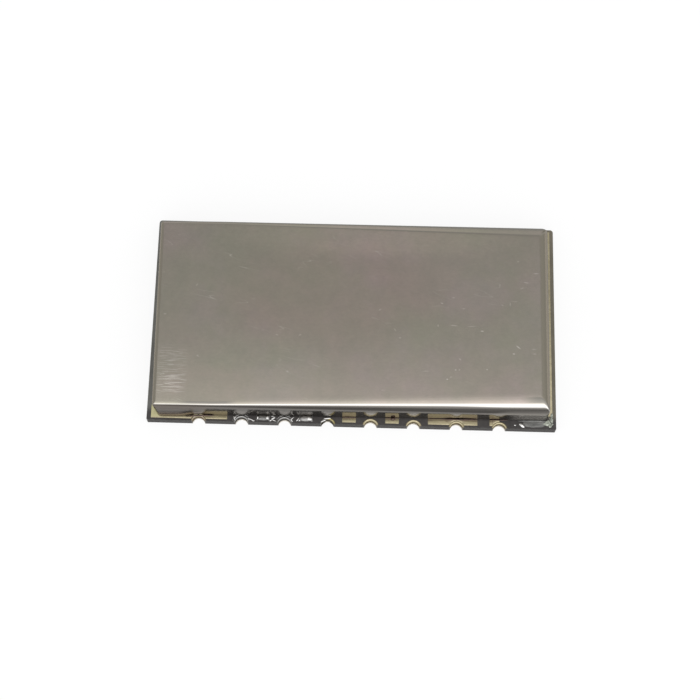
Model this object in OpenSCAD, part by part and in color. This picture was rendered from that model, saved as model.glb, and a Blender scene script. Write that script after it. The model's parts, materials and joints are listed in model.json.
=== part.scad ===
// Long-range radio module: a thin circuit board with plated half holes along both long
// edges, and a drawn metal can soldered over the radio parts.
// Millimetres. The origin is the centre of the board's underside. +X runs along the
// board, +Y points to the back edge and +Z up through the can.

/* [Board] */
// Length of the board along X
board_w = 24.2; // [20:0.1:36]
// Depth of the board along Y
board_d = 12.8; // [11:0.1:20]
// Thickness of the laminate
board_t = 0.6; // [0.4:0.05:1.6]
// Radius of the board's four corners
board_corner_r = 0.1; // [0.05:0.05:0.25]

/* [Terminals] */
// Number of half holes on each long edge
terminal_count = 8; // [6:1:8]
// Distance from one half hole to the next
terminal_pitch = 2.54; // [2.1:0.01:2.6]
// Sideways shift of both rows from the board's middle
terminal_shift = -0.14; // [-0.4:0.01:0.4]
// Radius of the open half hole, inside the plating
hole_r = 0.38; // [0.3:0.01:0.5]
// Distance from the board's edge out to the hole's centre
hole_offset = 0.1; // [0:0.01:0.25]
// Thickness of the plating on the hole's wall
plating_t = 0.04; // [0.02:0.01:0.08]
// Width of the ring on the top face, plating included
ring_w = 0.1; // [0.09:0.01:0.2]
// Width of the land on the underside
land_w = 1.2; // [1.1:0.05:1.5]
// Reach of the land from the board's edge
land_l = 0.9; // [0.7:0.05:1.5]

/* [Ground pads] */
// Thickness of the copper and gold above the board, and of the lands below
pad_t = 0.02; // [0.01:0.005:0.05]
// Bare mask between the board's edge and the front of a pad
pad_edge_gap = 0.12; // [0.05:0.01:0.15]
// Reach of a pad past the inside of the can's wall
pad_inset = 0.25; // [0.15:0.05:0.6]
// Bare mask between a long pad and the next terminal's ring
pad_ring_gap = 0.37; // [0.15:0.01:0.4]
// Width of the short tabs between the terminals
tab_w = 0.8; // [0.5:0.02:0.9]
// Reach of the right-hand pad past the centre of its terminal
right_pad_reach = 1.23; // [0.8:0.01:1.25]
// Reach of the end pad before the centre of the last terminal
end_pad_reach = 0.59; // [0.55:0.01:0.7]
// Bare mask between the left edge of the board and the corner pad
corner_pad_gap = 0.26; // [0.1:0.01:0.27]
// Length of the corner pad's leg along the left side
corner_pad_leg = 5; // [2:0.1:8]
// Bare mask between the right edge of the board and the side strip
strip_gap = 0.22; // [0.1:0.01:0.4]
// Bare mask between the board's front edge and the front end of the side strip
strip_front_gap = 0.8; // [0.6:0.05:2]
// Bare mask between the board's back edge and the back end of the side strip
strip_back_gap = 0.15; // [0.05:0.05:2]

/* [Shield can] */
// Height of the can, from its foot to its top
can_h = 1.75; // [1.5:0.05:3]
// Thickness of the sheet
can_t = 0.2; // [0.1:0.01:0.3]
// Outside radius of the can's bends and corners
can_bend_r = 0.5; // [0.35:0.05:0.8]
// Board left bare outside the left wall
can_left_gap = 0.31; // [0.29:0.01:0.5]
// Board left bare outside the right wall
can_right_gap = 0.55; // [0.5:0.01:0.7]
// Board left bare outside the front wall
can_front_gap = 0.48; // [0.4:0.01:0.6]
// Board left bare outside the back wall
can_back_gap = 0.65; // [0.4:0.01:0.7]
// Angle at which the can was set down, in degrees
can_skew = 0.6; // [-0.6:0.1:0.6]

/* [Solder] */
// Thickness of the solder between the pads and the can's foot
solder_t = 0.05; // [0.02:0.01:0.1]
// Share of a tab's width that the solder covers
solder_cover = 0.8; // [0.4:0.05:1]
// Length of the joint near each corner pad's end
solder_l = 0.9; // [0.4:0.05:1.1]
// Radius of a bead's base
bead_r = 0.38; // [0.25:0.01:0.4]
// Height of a bead
bead_h = 0.22; // [0.1:0.01:0.3]
// Reach of a bead in front of the wall
bead_reach = 0.24; // [0.1:0.01:0.25]

/* [Radio parts] */
// Side of the square transceiver package
chip_w = 4; // [3:0.1:5]
// Height of the transceiver package
chip_h = 0.85; // [0.5:0.05:1.1]
// Contacts on each side of the transceiver package
chip_contacts = 6; // [4:1:8]
// Length of the oscillator
oscillator_l = 2.5; // [1.6:0.1:3.2]
// Width of the oscillator
oscillator_w = 2; // [1.2:0.1:2.5]
// Height of the oscillator's ceramic base
oscillator_base_h = 0.6; // [0.4:0.05:0.8]
// Thickness of the oscillator's lid
oscillator_lid_t = 0.15; // [0.08:0.01:0.25]
// Length of the antenna switch's body
switch_l = 2; // [1.4:0.1:3]
// Width of the antenna switch's body
switch_w = 1.25; // [0.9:0.05:1.6]
// Height of the antenna switch
switch_h = 0.9; // [0.6:0.05:1.1]
// Reach of the switch's leads past its body
switch_lead_l = 0.4; // [0.2:0.05:0.5]
// Length of the power inductor
choke_l = 2; // [1.4:0.1:2.6]
// Width of the power inductor
choke_w = 1.6; // [1.2:0.1:2]
// Height of the power inductor
choke_h = 1; // [0.6:0.05:1.1]
// Length of a small chip part
passive_l = 1; // [0.6:0.05:1.2]
// Width and height of a small chip part
passive_w = 0.5; // [0.3:0.05:0.6]
// Number of matching inductors in the column beside the transceiver
matching_count = 3; // [2:1:3]
// Number of bypass capacitors in the row behind the transceiver
capacitor_count = 5; // [3:1:5]
// Clear board between neighbouring parts
part_gap = 0.5; // [0.3:0.05:0.6]
// Place of the transceiver along X
chip_x = -1.5; // [-2:0.1:0.5]

/* [Hidden] */
$fn = 64;

// Names of the terminals, tabs and small parts follow from their numbers
tab_count = terminal_count - 4;
function numbered(name, count) = [for (i = [1 : count]) str(name, "_", i)];

// Small overlap that makes a cut run clean through
cut = 0.1;

// Terminals
drill_r = hole_r + plating_t;
ring_r = hole_r + ring_w;
front_y = -board_d / 2;
function terminal_x(i) = terminal_shift + (i - (terminal_count + 1) / 2) * terminal_pitch;
function tab_x(i) = (terminal_x(i + 1) + terminal_x(i + 2)) / 2;

// Can: its outside size, its middle and the height of its foot
can_w = board_w - can_left_gap - can_right_gap;
can_d = board_d - can_front_gap - can_back_gap;
can_x = (can_left_gap - can_right_gap) / 2;
can_y = (can_front_gap - can_back_gap) / 2;
pad_top = board_t + pad_t;
foot_z = pad_top + solder_t;
// Most that the skew moves the foot of a long wall, and of a short one
skew_y = can_w / 2 * sin(abs(can_skew));
skew_x = can_d / 2 * sin(abs(can_skew));

// Pads: how far they reach in from the board's edge
front_reach = can_front_gap + can_t + skew_y + pad_inset;
back_reach = can_back_gap + can_t + skew_y + pad_inset;
left_reach = can_left_gap + can_t + skew_x + pad_inset;
right_reach = can_right_gap + can_t + skew_x + pad_inset;
left_pad_end = terminal_x(2) - ring_r - pad_ring_gap;
right_pad_start = terminal_x(terminal_count - 2) + ring_r + pad_ring_gap;
right_pad_end = terminal_x(terminal_count - 1) + right_pad_reach;
// Tabs that carry a bead of solder in front of the can's wall
bead_tabs = [1, 2];

// Radio parts: columns to the left and right of the transceiver, and a row behind it
left_column_x = chip_x - chip_w / 2 - part_gap - max(oscillator_l, choke_l) / 2;
oscillator_y = (oscillator_w + part_gap) / 2;
choke_y = -(choke_w + part_gap) / 2;
matching_x = chip_x + chip_w / 2 + part_gap + passive_l / 2;
switch_x = matching_x + passive_l / 2 + part_gap + switch_l / 2;
capacitor_y = chip_w / 2 + part_gap + passive_w / 2;
// Sizes of the fine details on the packages
contact_t = 0.02;
contact_h = 0.2;
dimple_r = 0.25;
dimple_depth = 0.05;
lid_inset = 0.15;
lead_w = 0.25;
lead_t = 0.12;
end_cap_l = 0.25;
end_cap_t = 0.02;

// Plate with round corners, centred on the origin and standing on z = 0
module round_plate(w, d, h, r) {
    translate([-w / 2 + r, -d / 2, 0]) cube([w - 2 * r, d, h]);
    translate([-w / 2, -d / 2 + r, 0]) cube([w, d - 2 * r, h]);
    for (sx = [-1, 1], sy = [-1, 1])
        translate([sx * (w / 2 - r), sy * (d / 2 - r), 0]) cylinder(r = r, h = h);
}

// Block with round upright corners and a round top edge, standing on z = 0
module drawn_block(w, d, h, r) {
    round_plate(w, d, h - r, r);
    translate([0, 0, h - r]) {
        translate([-w / 2 + r, -d / 2 + r, 0]) cube([w - 2 * r, d - 2 * r, r]);
        for (sy = [-1, 1])
            translate([-w / 2 + r, sy * (d / 2 - r), 0])
                rotate([0, 90, 0]) cylinder(r = r, h = w - 2 * r);
        for (sx = [-1, 1])
            translate([sx * (w / 2 - r), -d / 2 + r, 0])
                rotate([-90, 0, 0]) cylinder(r = r, h = d - 2 * r);
        for (sx = [-1, 1], sy = [-1, 1])
            translate([sx * (w / 2 - r), sy * (d / 2 - r), 0]) sphere(r = r);
    }
}

// Puts a shape that is drawn for the front edge on the back edge too
module on_edge(side) {
    if (side == "front") translate([0, front_y, 0]) children();
    else mirror([0, 1, 0]) translate([0, front_y, 0]) children();
}

// Round cutter at a terminal's hole, in the frame of its edge
module terminal_cutter(r, from_z, h) {
    translate([0, -hole_offset, from_z]) cylinder(r = r, h = h);
}

// Land under a terminal, still without its hole. A margin runs it out past the board's
// edge and underside, for its recess in the board.
module terminal_land(margin) {
    translate([-land_w / 2, -margin, -margin]) cube([land_w, land_l + margin, pad_t + margin]);
}

module circuit_board() color([0.16, 0.155, 0.15]) difference() {
    round_plate(board_w, board_d, board_t, board_corner_r);
    for (side = ["front", "back"], i = [1 : terminal_count])
        on_edge(side) translate([terminal_x(i), 0, 0]) {
            terminal_cutter(drill_r, -cut, board_t + 2 * cut);
            terminal_land(cut);
        }
}

// Plated half hole: barrel, ring on top and land below, cut off at the board's edge
module terminal(side, i) color([0.72, 0.62, 0.36]) on_edge(side) translate([terminal_x(i), 0, 0])
    intersection() {
        translate([-land_w, 0, -cut]) cube([2 * land_w, land_w + land_l, pad_top + 2 * cut]);
        difference() {
            union() {
                terminal_cutter(drill_r, 0, pad_top);
                terminal_cutter(ring_r, board_t, pad_t);
                terminal_land(0);
            }
            terminal_cutter(hole_r, -cut, pad_top + 2 * cut);
        }
    }

module shield_can() color([0.6, 0.58, 0.54]) in_can_frame() difference() {
    drawn_block(can_w, can_d, can_h, can_bend_r);
    translate([0, 0, -cut])
        drawn_block(can_w - 2 * can_t, can_d - 2 * can_t, can_h - can_t + cut, can_bend_r - can_t);
}

// Frame of the can: the middle of its foot, turned by the skew
module in_can_frame() {
    translate([can_x, can_y, foot_z]) rotate([0, 0, can_skew]) children();
}

// Flat gold area on the board's top face
module pad(from_x, to_x, from_y, to_y) {
    translate([from_x, from_y, board_t]) cube([to_x - from_x, to_y - from_y, pad_t]);
}

// Takes the ring of front terminal i out of a pad, so that the two meet edge to edge
module around_terminal(i) {
    difference() {
        children();
        on_edge("front") translate([terminal_x(i), 0, 0])
            terminal_cutter(ring_r, board_t - cut, pad_t + 2 * cut);
    }
}

module ground_pad_left() color([0.72, 0.62, 0.36]) around_terminal(1) {
    left_x = -board_w / 2 + corner_pad_gap;
    union() {
        pad(left_x, left_pad_end, front_y + pad_edge_gap, front_y + front_reach);
        pad(left_x, -board_w / 2 + left_reach, front_y + pad_edge_gap, front_y + corner_pad_leg);
    }
}

module ground_pad_right() color([0.72, 0.62, 0.36]) around_terminal(terminal_count - 1)
    pad(right_pad_start, right_pad_end, front_y + pad_edge_gap, front_y + front_reach);

module ground_pad_end() color([0.72, 0.62, 0.36]) around_terminal(terminal_count) {
    end_x = terminal_x(terminal_count);
    pad(end_x - end_pad_reach, end_x, front_y + pad_edge_gap, front_y + front_reach);
}

module side_strip() color([0.72, 0.62, 0.36])
    pad(board_w / 2 - right_reach, board_w / 2 - strip_gap,
        front_y + strip_front_gap, -front_y - strip_back_gap);

module tab(side, i) color([0.72, 0.62, 0.36]) {
    reach = side == "front" ? front_reach : back_reach;
    on_edge(side) pad(tab_x(i) - tab_w / 2, tab_x(i) + tab_w / 2, pad_edge_gap, reach);
}

// Solder between a pad and the foot of a long wall, from one x to another
module long_wall_solder(side, from_x, to_x) {
    wall_y = side == "front" ? -can_d / 2 : can_d / 2 - can_t;
    in_can_frame() translate([from_x - can_x, wall_y, -solder_t])
        cube([to_x - from_x, can_t, solder_t]);
}

// Solder between a pad and the foot of a short wall, from one y to another
module short_wall_solder(side, from_y, to_y) {
    wall_x = side == "left" ? -can_w / 2 : can_w / 2 - can_t;
    in_can_frame() translate([wall_x, from_y - can_y, -solder_t])
        cube([can_t, to_y - from_y, solder_t]);
}

// Bead of solder on a tab, lying against the outside of the front wall
module bead(x) {
    ball_r = (bead_r * bead_r + bead_h * bead_h) / (2 * bead_h);
    in_can_frame() translate([x - can_x, -can_d / 2, -solder_t]) intersection() {
        translate([0, bead_r - bead_reach, bead_h - ball_r]) sphere(r = ball_r);
        translate([-2 * ball_r, -2 * ball_r, 0]) cube([4 * ball_r, 2 * ball_r, 2 * ball_r]);
    }
}

module solder_joint(i) color([0.7, 0.7, 0.7]) union() {
    half = tab_w * solder_cover / 2;
    long_wall_solder("front", tab_x(i) - half, tab_x(i) + half);
    if (len(search(i, bead_tabs)) > 0) bead(tab_x(i));
}

module solder_back(i) color([0.7, 0.7, 0.7]) {
    half = tab_w * solder_cover / 2;
    long_wall_solder("back", tab_x(i) - half, tab_x(i) + half);
}

module solder_joint_left() color([0.7, 0.7, 0.7]) {
    from_x = -board_w / 2 + left_reach + skew_x;
    long_wall_solder("front", from_x, from_x + solder_l);
}

module solder_joint_right() color([0.7, 0.7, 0.7]) {
    from_x = right_pad_start + pad_inset / 2;
    long_wall_solder("front", from_x, from_x + solder_l);
}

module solder_joint_side() color([0.7, 0.7, 0.7]) {
    from_y = front_y + max(strip_front_gap, strip_back_gap) + pad_inset;
    short_wall_solder("right", from_y, -from_y);
}

module solder_corner() color([0.7, 0.7, 0.7])
    short_wall_solder("left", front_y + front_reach + skew_y, front_y + corner_pad_leg - pad_inset);

// Flat no-lead package with contacts on its four sides and a dimple at contact one
module transceiver_chip() color([0.12, 0.12, 0.12]) translate([chip_x, 0, board_t]) {
    contact_pitch = chip_w / (chip_contacts + 2);
    difference() {
        translate([-chip_w / 2, -chip_w / 2, 0]) cube([chip_w, chip_w, chip_h]);
        translate([-chip_w / 2 + 3 * dimple_r, chip_w / 2 - 3 * dimple_r, chip_h - dimple_depth])
            cylinder(r = dimple_r, h = dimple_depth + cut);
    }
    for (turn = [0 : 90 : 270], k = [1 : chip_contacts])
        rotate([0, 0, turn])
            translate([(k - (chip_contacts + 1) / 2) * contact_pitch, chip_w / 2 - contact_t, 0])
                translate([-contact_pitch / 4, 0, 0])
                    cube([contact_pitch / 2, 2 * contact_t, contact_h]);
}

module oscillator_base() color([0.75, 0.72, 0.66])
    translate([left_column_x - oscillator_l / 2, oscillator_y - oscillator_w / 2, board_t])
        cube([oscillator_l, oscillator_w, oscillator_base_h]);

module oscillator_lid() color([0.75, 0.74, 0.7])
    translate([left_column_x, oscillator_y, board_t + oscillator_base_h])
        round_plate(oscillator_l - 2 * lid_inset, oscillator_w - 2 * lid_inset,
                    oscillator_lid_t, lid_inset);

// Small package with three bent leads on each long side
module antenna_switch() color([0.12, 0.12, 0.12]) translate([switch_x, 0, board_t]) {
    body_z = lead_t;
    lead_top = switch_h / 2;
    translate([-switch_l / 2, -switch_w / 2, body_z]) cube([switch_l, switch_w, switch_h - body_z]);
    for (turn = [0, 180], k = [-1 : 1])
        rotate([0, 0, turn]) translate([k * switch_l / 3 - lead_w / 2, switch_w / 2, 0]) {
            cube([lead_w, switch_lead_l, lead_t]);
            cube([lead_w, lead_t, lead_top]);
            translate([0, -lead_t, lead_top - lead_t]) cube([lead_w, 2 * lead_t, lead_t]);
        }
}

// Block with a metal cap over each end
module chip_part(l, w, h, cap_l) {
    translate([-l / 2, -w / 2 + end_cap_t, end_cap_t]) cube([l, w - 2 * end_cap_t, h - 2 * end_cap_t]);
    for (sx = [-1, 1])
        translate([sx * (l - cap_l) / 2 - cap_l / 2, -w / 2, 0]) cube([cap_l, w, h]);
}

module power_inductor() color([0.3, 0.3, 0.31])
    translate([left_column_x, choke_y, board_t]) chip_part(choke_l, choke_w, choke_h, 2 * end_cap_l);

module matching_inductor(i) color([0.55, 0.62, 0.7])
    translate([matching_x, (i - (matching_count + 1) / 2) * (passive_w + part_gap), board_t])
        chip_part(passive_l, passive_w, passive_w, end_cap_l);

module bypass_capacitor(i) color([0.62, 0.5, 0.36])
    translate([chip_x + (i - (capacitor_count + 1) / 2) * (passive_l + part_gap), capacitor_y, board_t])
        chip_part(passive_l, passive_w, passive_w, end_cap_l);

circuit_board();
shield_can();
for (i = [1 : terminal_count]) {
    terminal("front", i);
    terminal("back", i);
}
ground_pad_left();
ground_pad_right();
ground_pad_end();
side_strip();
for (i = [1 : tab_count]) {
    tab("front", i);
    tab("back", i);
    solder_joint(i);
    solder_back(i);
}
solder_joint_left();
solder_joint_right();
solder_joint_side();
solder_corner();
transceiver_chip();
oscillator_base();
oscillator_lid();
antenna_switch();
power_inductor();
for (i = [1 : matching_count])
    matching_inductor(i);
for (i = [1 : capacitor_count])
    bypass_capacitor(i);
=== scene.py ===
# Looks of a long-range radio module: a drawn metal can on a thin black board
import json
from math import acos, asin, copysign, cos, pi, radians, sin, sqrt

import bpy
from mathutils import Matrix, Vector, noise


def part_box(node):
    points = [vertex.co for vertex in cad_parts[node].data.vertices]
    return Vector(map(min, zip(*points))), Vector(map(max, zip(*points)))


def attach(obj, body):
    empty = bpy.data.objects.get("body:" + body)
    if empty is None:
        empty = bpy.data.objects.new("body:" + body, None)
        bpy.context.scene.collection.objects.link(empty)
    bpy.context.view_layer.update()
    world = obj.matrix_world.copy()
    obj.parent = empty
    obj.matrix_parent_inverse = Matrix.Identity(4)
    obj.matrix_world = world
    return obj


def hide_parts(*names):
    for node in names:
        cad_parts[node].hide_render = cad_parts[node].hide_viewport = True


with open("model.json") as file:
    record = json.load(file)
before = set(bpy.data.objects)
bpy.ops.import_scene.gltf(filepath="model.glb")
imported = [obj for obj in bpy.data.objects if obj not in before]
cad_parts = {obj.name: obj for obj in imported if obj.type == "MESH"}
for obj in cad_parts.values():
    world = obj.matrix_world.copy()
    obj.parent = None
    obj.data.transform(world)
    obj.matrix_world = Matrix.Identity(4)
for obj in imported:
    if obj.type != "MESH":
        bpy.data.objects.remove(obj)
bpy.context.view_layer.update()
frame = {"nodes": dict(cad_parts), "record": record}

MM = 0.001
QUARTER = pi / 2
# Points that round to the same whole number at this scale share a vertex
VERTEX_SCALE = 1e8
# Marks that pick a material: on the board, on a terminal and on a pad
MASK, LAMINATE = range(2)
FACE, HOLE, RIM, CUT = range(4)
PAD_FACE, PAD_EDGE = range(2)
# Angles in degrees above which an edge stays sharp
SHARP_BOARD = 40
SHARP_TERMINAL = 50
SHARP_SHEET = 60
SHARP_SOLDER = 70


def mm(*lengths):
    """Lengths given in millimetres, in metres."""
    return tuple(length * MM for length in lengths)


# Sizes shared with the solids
HOLE_R = 0.38 * MM
HOLE_OFFSET = 0.1 * MM
PLATING_T = 0.04 * MM
RING_W = 0.1 * MM
PAD_T = 0.02 * MM
PAD_EDGE_GAP = 0.12 * MM
CORNER_LEG_W = 0.56 * MM
CAN_T = 0.2 * MM
CAN_CORNER_R = 0.5 * MM
CAN_SKEW = radians(0.6)
DRILL_R = HOLE_R + PLATING_T
RING_R = HOLE_R + RING_W

# Places read from the frame
BOARD_LOW, BOARD_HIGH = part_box("circuit_board")
BOARD_TOP = BOARD_HIGH.z
PAD_TOP = BOARD_TOP + PAD_T
FRONT_Y = BOARD_LOW.y
HOLE_Y = FRONT_Y - HOLE_OFFSET
LAND_LOW, LAND_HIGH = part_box("front_terminal_1")
LAND_W = LAND_HIGH.x - LAND_LOW.x
LAND_L = LAND_HIGH.y - LAND_LOW.y
TERMINALS = sum(name.startswith("front_terminal_") for name in frame["nodes"])
TERMINAL_X = [sum(p.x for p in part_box(f"front_terminal_{i + 1}")) / 2 for i in range(TERMINALS)]
TABS = sum(name.startswith("ground_tab_") for name in frame["nodes"])
CAN_LOW, CAN_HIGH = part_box("shield_can")
CAN_H = CAN_HIGH.z - CAN_LOW.z


def can_plan():
    """Outside width and depth of the can, from the box of the turned can."""
    box_w = CAN_HIGH.x - CAN_LOW.x - 2 * CAN_CORNER_R
    box_d = CAN_HIGH.y - CAN_LOW.y - 2 * CAN_CORNER_R
    c, s = cos(CAN_SKEW), sin(CAN_SKEW)
    width = (box_w * c - box_d * s) / (c * c - s * s)
    depth = (box_d * c - box_w * s) / (c * c - s * s)
    return width + 2 * CAN_CORNER_R, depth + 2 * CAN_CORNER_R


CAN_W, CAN_D = can_plan()
CAN_FRAME = (Matrix.Translation(((CAN_LOW.x + CAN_HIGH.x) / 2, (CAN_LOW.y + CAN_HIGH.y) / 2, CAN_LOW.z))
             @ Matrix.Rotation(CAN_SKEW, 4, "Z"))


# Mesh helpers

class Builder:
    """Collects faces, and shares vertices that fall on the same place."""

    def __init__(self, place=None):
        self.place = place
        self.verts = []
        self.faces = []
        self.marks = []
        self.index = {}

    def vert(self, point):
        key = tuple(round(c * VERTEX_SCALE) for c in point)
        if key not in self.index:
            self.index[key] = len(self.verts)
            point = Vector(point)
            self.verts.append(self.place(point) if self.place else point)
        return self.index[key]

    def face(self, points, mark=0):
        ids = list(dict.fromkeys(self.vert(p) for p in points))
        if len(ids) > 2:
            self.faces.append(ids)
            self.marks.append(mark)

    def strip(self, first, second, mark=0, closed=False):
        """Quads between two rows of points."""
        count = len(first)
        for k in range(count if closed else count - 1):
            n = (k + 1) % count
            self.face([first[k], first[n], second[n], second[k]], mark)

    def flat(self, path, z, up=True, mark=0):
        """A level face inside a path that runs anticlockwise."""
        self.face(at_height(path if up else path[::-1], z), mark)


def at_height(path, z):
    return [(x, y, z) for x, y in path]


def add_object(name, data):
    obj = bpy.data.objects.new(name, data)
    bpy.context.scene.collection.objects.link(obj)
    return obj


def make_piece(name, builder, materials, replaces=(), sharp_deg=SHARP_SOLDER):
    """A mesh piece that rides on the part. The marks of its faces pick materials."""
    mesh = bpy.data.meshes.new(name)
    mesh.from_pydata([tuple(v) for v in builder.verts], [], builder.faces)
    for material in materials:
        mesh.materials.append(material)
    for poly, mark in zip(mesh.polygons, builder.marks):
        poly.material_index = mark
        poly.use_smooth = True
    mesh.set_sharp_from_angle(angle=radians(sharp_deg))
    obj = add_object(name, mesh)
    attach(obj, "root")
    if replaces:
        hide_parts(*replaces)


def ease(k):
    """Smooth step from 0 to 1."""
    k = min(max(k, 0.0), 1.0)
    return k * k * (3 - 2 * k)


def arc(cx, cy, r, start, end, steps):
    """Points on a circle from one angle to another."""
    angles = [start + (end - start) * k / steps for k in range(steps + 1)]
    return [(cx + r * cos(a), cy + r * sin(a)) for a in angles]


def mirrored(path):
    """The same path on the back edge, still anticlockwise."""
    return [(x, -y) for x, y in reversed(path)]


# Limit on how far a sharp corner is drawn in
LEAST_LEAN = 0.5


def inset(path, distance):
    """The path moved inwards by a small distance, corner by corner."""
    result = []
    for k, point in enumerate(path):
        here = Vector(point)
        before = (here - Vector(path[k - 1])).normalized()
        after = (Vector(path[(k + 1) % len(path)]) - here).normalized()
        normal = Vector((-before.y - after.y, before.x + after.x)).normalized()
        lean = max(normal.dot(Vector((-before.y, before.x))), LEAST_LEAN)
        result.append(tuple(here + normal * distance / lean))
    return result


# Board with its notches

BOARD_FRONT_CORNER_R = 0.06 * MM
BOARD_BACK_CORNER_R = 0.18 * MM
CORNER_STEPS = 6
NOTCH_STEPS = 36


def notch_arc(x, r):
    """The part of a terminal's circle that lies on the board, from left to right."""
    a = asin(HOLE_OFFSET / r)
    return arc(x, HOLE_Y, r, pi - a, a, NOTCH_STEPS)


def land_recess(x):
    half = LAND_W / 2
    depth = FRONT_Y + LAND_L
    return [(x - half, FRONT_Y), (x - half, depth), (x + half, depth), (x + half, FRONT_Y)]


def land_outline(x, r):
    """Outline of a land under a front terminal, less a hole of that radius."""
    first, *others = land_recess(x)
    return [first] + notch_arc(x, r) + others[::-1]


def board_outline(edge):
    """Outline of the board, with one shape cut into both long edges at each terminal."""
    left, right, back = BOARD_LOW.x, BOARD_HIGH.x, BOARD_HIGH.y
    rf, rb = BOARD_FRONT_CORNER_R, BOARD_BACK_CORNER_R
    cuts = [point for x in TERMINAL_X for point in edge(x)]
    path = arc(left + rf, FRONT_Y + rf, rf, 2 * QUARTER, 3 * QUARTER, CORNER_STEPS) + cuts
    path += arc(right - rf, FRONT_Y + rf, rf, 3 * QUARTER, 4 * QUARTER, CORNER_STEPS)
    path += arc(right - rb, back - rb, rb, 0, QUARTER, CORNER_STEPS) + mirrored(cuts)
    return path + arc(left + rb, back - rb, rb, QUARTER, 2 * QUARTER, CORNER_STEPS)


def build_board(mask, laminate):
    b = Builder()
    upper = board_outline(lambda x: notch_arc(x, DRILL_R))
    lower = board_outline(land_recess)
    b.flat(upper, BOARD_TOP, mark=MASK)
    b.strip(at_height(upper, PAD_T), at_height(upper, BOARD_TOP), mark=LAMINATE, closed=True)
    b.strip(at_height(lower, 0), at_height(lower, PAD_T), mark=LAMINATE, closed=True)
    b.flat(lower, 0, up=False, mark=MASK)
    for x in TERMINAL_X:
        ceiling = land_outline(x, DRILL_R)
        b.flat(ceiling, PAD_T, up=False)
        b.flat(mirrored(ceiling), PAD_T, up=False)
    make_piece("board", b, [mask, laminate], ["circuit_board"], SHARP_BOARD)


# Plated terminals

LIP = 0.035 * MM


def build_terminal(number, side, materials):
    """Plated half hole with ring and land, and materials for face, hole, rim and cut ends."""
    x = TERMINAL_X[number - 1]
    b = Builder()
    section = [(HOLE_R, 0), (HOLE_R, PAD_TOP - LIP), (HOLE_R + LIP, PAD_TOP), (RING_R - PAD_T, PAD_TOP),
               (RING_R, BOARD_TOP), (DRILL_R, BOARD_TOP), (DRILL_R, PAD_T)]
    rows = [at_height(notch_arc(x, r), z) for r, z in section]
    for low, high, mark in zip(rows, rows[1:], (HOLE, RIM, FACE, RIM, FACE, FACE)):
        b.strip(low, high, mark)
    sides = land_recess(x)[::-1]
    b.strip(at_height(sides, 0), at_height(sides, PAD_T))
    b.flat(land_outline(x, DRILL_R), PAD_T)
    b.flat(land_outline(x, HOLE_R), 0, up=False)
    for end, corner in ((0, sides[-1]), (-1, sides[0])):
        cap = [row[end] for row in rows] + [(*corner, PAD_T), (*corner, 0)]
        b.face(cap if end == 0 else cap[::-1], mark=CUT)
    if side == "back":
        b.verts = [Vector((v.x, -v.y, v.z)) for v in b.verts]
        b.faces = [face[::-1] for face in b.faces]
    name = f"{side}_terminal_{number}"
    make_piece(f"plated_{name}", b, materials, [name], SHARP_TERMINAL)


# Gold pads with a soft rim

PAD_RIM = 0.055 * MM
PAD_SHOULDER = PAD_T / 4
TINNED_TABS = ("ground_tab_1", "ground_tab_2")


def build_pad(node, outline, materials):
    """A pad whose edge slopes down to the board. Its front edge has its own material."""
    b = Builder()
    top = inset(outline, PAD_RIM)
    shoulder = BOARD_TOP + PAD_SHOULDER
    low, high = at_height(outline, shoulder), at_height(top, PAD_TOP)
    b.strip(at_height(outline, BOARD_TOP), low, closed=True)
    for k in range(len(outline)):
        n = (k + 1) % len(outline)
        front = outline[n][0] - outline[k][0] > abs(outline[n][1] - outline[k][1])
        b.face([low[k], low[n], high[n], high[k]], mark=PAD_EDGE if front else PAD_FACE)
    b.flat(top, PAD_TOP)
    b.flat(outline, BOARD_TOP, up=False)
    make_piece(f"plated_{node}", b, materials, [node], SHARP_SHEET)


def ring_edge(x, y, end):
    """The outside of a terminal's ring above the level y, from left to right."""
    half = acos((y - HOLE_Y) / RING_R)
    return arc(x, HOLE_Y, RING_R, QUARTER + half, QUARTER - end * half, NOTCH_STEPS // 2)


def rectangle(node):
    low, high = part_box(node)
    return [(low.x, low.y), (high.x, low.y), (high.x, high.y), (low.x, high.y)]


def build_pads(materials, tinned):
    edge_y = FRONT_Y + PAD_EDGE_GAP
    inner_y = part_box("ground_tab_1")[1].y
    for kind, place, end in (("left", 0, 1), ("right", -2, 1), ("end", -1, 0)):
        node = f"ground_pad_{kind}"
        low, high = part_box(node)
        path = [(low.x, edge_y)] + ring_edge(TERMINAL_X[place], edge_y, end)
        path += [(high.x, edge_y)] * end + [(high.x, inner_y)]
        if kind == "left":
            leg_x = low.x + CORNER_LEG_W
            path += [(leg_x, inner_y), (leg_x, high.y), (low.x, high.y)]
        else:
            path.append((low.x, inner_y))
        build_pad(node, path, materials)
    for node in [f"{kind}_tab_{i + 1}" for kind in ("ground", "back") for i in range(TABS)]:
        build_pad(node, rectangle(node), tinned if node in TINNED_TABS else materials)
    build_pad("side_strip", rectangle("side_strip"), [materials[1], materials[1]])


# Drawn can

# Radii of the bends, at the left and right ends of the long sides
FRONT_BEND = mm(0.31, 0.97)
BACK_BEND = mm(0.26, 0.82)
LEFT_BEND = 0.26 * MM
RIGHT_BEND = 0.62 * MM
BEND_GROWS_FROM = 0.15
# Radii of the upright corners, left and right
FRONT_CORNERS = mm(0.24, 0.26)
BACK_CORNERS = mm(0.2, 0.38)
# How sharply two bends meet at a corner
MITRE_POWER = 4
BEND_STEPS = 16
WALL_STEPS = 6
TOP_COLUMNS = 140
TOP_ROWS = 60
# How far the top falls towards the front edge, at its left and right ends
CROWN = mm(0.21, 0.09)
CROWN_POWER = 2.2
# Unevenness of the sheet, and the share of the height where it starts
WOBBLE = 0.004 * MM
WOBBLE_SCALE = 220
WOBBLE_FROM = 0.5
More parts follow.
